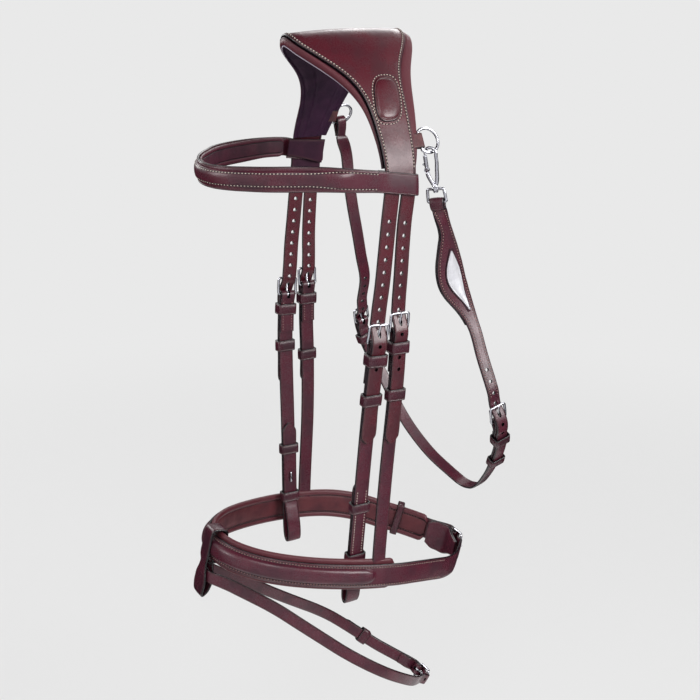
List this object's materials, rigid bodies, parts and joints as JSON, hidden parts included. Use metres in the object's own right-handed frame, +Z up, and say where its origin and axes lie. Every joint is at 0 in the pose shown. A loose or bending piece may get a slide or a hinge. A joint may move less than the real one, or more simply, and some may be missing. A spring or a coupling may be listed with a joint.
{
  "type": "bridle",
  "caption": "English leather bridle with a wide padded crown, raised padded browband and noseband, flash strap, buckled cheekpieces and a throatlatch clipped to side rings.",
  "frame": {"origin": "underside of the crown's padding at the horse's poll, in the middle of the bridle from side to side; the part hangs from it", "axes": "+Z up, -Y toward the horse's nose (the front of the bridle), +X toward the horse's left, the near side"},
  "size_m": [0.2698, 0.3393, 0.7593],
  "materials": {
    "crown_leather": "satin burgundy",
    "strap_leather": "satin dark burgundy",
    "trim_leather": "satin, dark",
    "lining_leather": "soft, padded",
    "padding": "soft, dark",
    "steel": "polished"
  },
  "bodies": {
    "bridle": {"browband_leather": "strap_leather", "browband_lining": "lining_leather", "chin_buckle": "steel", "chin_keeper": "trim_leather", "chin_pad": "strap_leather", "far_bit_keeper_lower": "trim_leather", "far_bit_keeper_upper": "trim_leather", "far_cheek_buckle": "steel", "far_cheek_keeper": "trim_leather", "far_cheekpiece": "strap_leather", "far_hanger_buckle": "steel", "far_hanger_keeper": "trim_leather", "far_hook_stud": "steel", "far_noseband_hanger": "strap_leather", "far_ring_tab": "trim_leather", "far_throat_billet": "strap_leather", "far_throat_buckle": "steel", "far_throat_keeper": "trim_leather", "flash_buckle": "steel", "flash_keeper": "trim_leather", "flash_loop": "trim_leather", "flash_strap": "strap_leather", "headpiece_leather": "crown_leather", "headpiece_padding": "padding", "near_bit_keeper_lower": "trim_leather", "near_bit_keeper_upper": "trim_leather", "near_cheek_buckle": "steel", "near_cheek_keeper": "trim_leather", "near_cheekpiece": "strap_leather", "near_hanger_buckle": "steel", "near_hanger_keeper": "trim_leather", "near_hook_stud": "steel", "near_noseband_hanger": "strap_leather", "near_ring_tab": "trim_leather", "near_throat_billet": "strap_leather", "near_throat_buckle": "steel", "near_throat_keeper": "trim_leather", "noseband_leather": "strap_leather", "noseband_lining": "lining_leather", "snap_eye": "steel", "throat_plate": "steel", "throat_strap": "strap_leather"},
    "near_cheek_tongue": {"near_cheek_tongue": "steel"},
    "far_cheek_tongue": {"far_cheek_tongue": "steel"},
    "near_hanger_tongue": {"near_hanger_tongue": "steel"},
    "far_hanger_tongue": {"far_hanger_tongue": "steel"},
    "chin_tongue": {"chin_tongue": "steel"},
    "flash_tongue": {"flash_tongue": "steel"},
    "near_throat_tongue": {"near_throat_tongue": "steel"},
    "far_throat_tongue": {"far_throat_tongue": "steel"},
    "near_d_ring": {"near_d_ring": "steel"},
    "far_d_ring": {"far_d_ring": "steel"},
    "near_cheek_runner": {"near_cheek_runner": "trim_leather"},
    "far_cheek_runner": {"far_cheek_runner": "trim_leather"},
    "near_hanger_runner": {"near_hanger_runner": "trim_leather"},
    "far_hanger_runner": {"far_hanger_runner": "trim_leather"},
    "near_throat_runner": {"near_throat_runner": "trim_leather"},
    "snap_body": {"snap_body": "steel"},
    "snap_gate": {"snap_gate": "steel"}
  },
  "joints": [
    {"name": "near_cheek_tongue_pivot", "type": "hinge", "parent": "bridle", "child": "near_cheek_tongue", "pos_m": [0.093, -0.0249, -0.27], "axis": [0, 0.9941, -0.1083], "range_deg": [0, 4]},
    {"name": "far_cheek_tongue_pivot", "type": "hinge", "parent": "bridle", "child": "far_cheek_tongue", "pos_m": [-0.093, -0.0249, -0.27], "axis": [0, -0.9941, 0.1083], "range_deg": [0, 4]},
    {"name": "near_hanger_tongue_pivot", "type": "hinge", "parent": "bridle", "child": "near_hanger_tongue", "pos_m": [0.0924, -0.0003, -0.262], "axis": [0, 0.9992, -0.0393], "range_deg": [0, 4]},
    {"name": "far_hanger_tongue_pivot", "type": "hinge", "parent": "bridle", "child": "far_hanger_tongue", "pos_m": [-0.0924, -0.0003, -0.262], "axis": [0, -0.9992, 0.0393], "range_deg": [0, 4]},
    {"name": "chin_tongue_pivot", "type": "hinge", "parent": "bridle", "child": "chin_tongue", "pos_m": [-0.006, 0.1415, -0.573], "axis": [-0.015, 0.2479, 0.9687], "range_deg": [0, 4]},
    {"name": "flash_tongue_pivot", "type": "hinge", "parent": "bridle", "child": "flash_tongue", "pos_m": [-0.005, 0.097, -0.7375], "axis": [0.0008, 0.632, 0.775], "range_deg": [0, 4]},
    {"name": "near_throat_tongue_pivot", "type": "hinge", "parent": "bridle", "child": "near_throat_tongue", "pos_m": [0.1252, 0.0996, -0.364], "axis": [0, 0.9656, 0.2599], "range_deg": [0, 4]},
    {"name": "far_throat_tongue_pivot", "type": "hinge", "parent": "bridle", "child": "far_throat_tongue", "pos_m": [-0.1255, 0.0886, -0.327], "axis": [0, -0.9656, -0.2599], "range_deg": [0, 4]},
    {"name": "near_d_ring_swing", "type": "hinge", "parent": "bridle", "child": "near_d_ring", "pos_m": [0.07933, 0.029, -0.08506], "axis": [-0.4762, 0, 0.8794], "range_deg": [-5, 3]},
    {"name": "far_d_ring_swing", "type": "hinge", "parent": "bridle", "child": "far_d_ring", "pos_m": [-0.07644, 0.0255, -0.07944], "axis": [-0.4972, 0, -0.8677], "range_deg": [-3, 1.2]},
    {"name": "snap_swivel", "type": "hinge", "parent": "bridle", "child": "snap_body", "pos_m": [0.0884, 0.0415, -0.13], "axis": [-0.0983, -0.1397, 0.9853], "range_deg": [-10, 10]},
    {"name": "snap_gate_pivot", "type": "hinge", "parent": "snap_body", "child": "snap_gate", "pos_m": [0.08196, 0.03572, -0.1121], "axis": [-0.5698, 0.8197, 0.0594], "range_deg": [0, 14], "stiffness_Nm_per_rad": 0.02},
    {"name": "near_cheek_runner_slide", "type": "slide", "parent": "bridle", "child": "near_cheek_runner", "axis": [0.0749, 0.0717, 0.9946], "range_m": [-0.008, 0.008]},
    {"name": "far_cheek_runner_slide", "type": "slide", "parent": "bridle", "child": "far_cheek_runner", "axis": [-0.0743, 0.0474, 0.9961], "range_m": [-0.008, 0.008]},
    {"name": "near_hanger_runner_slide", "type": "slide", "parent": "bridle", "child": "near_hanger_runner", "axis": [0.0169, 0.0769, 0.9969], "range_m": [-0.008, 0.008]},
    {"name": "far_hanger_runner_slide", "type": "slide", "parent": "bridle", "child": "far_hanger_runner", "axis": [-0.0157, 0.0089, 0.9998], "range_m": [-0.005, 0.005]},
    {"name": "near_throat_runner_slide", "type": "slide", "parent": "bridle", "child": "near_throat_runner", "axis": [0.5036, -0.2104, 0.8379], "range_m": [-0.005, 0.008]}
  ]
}
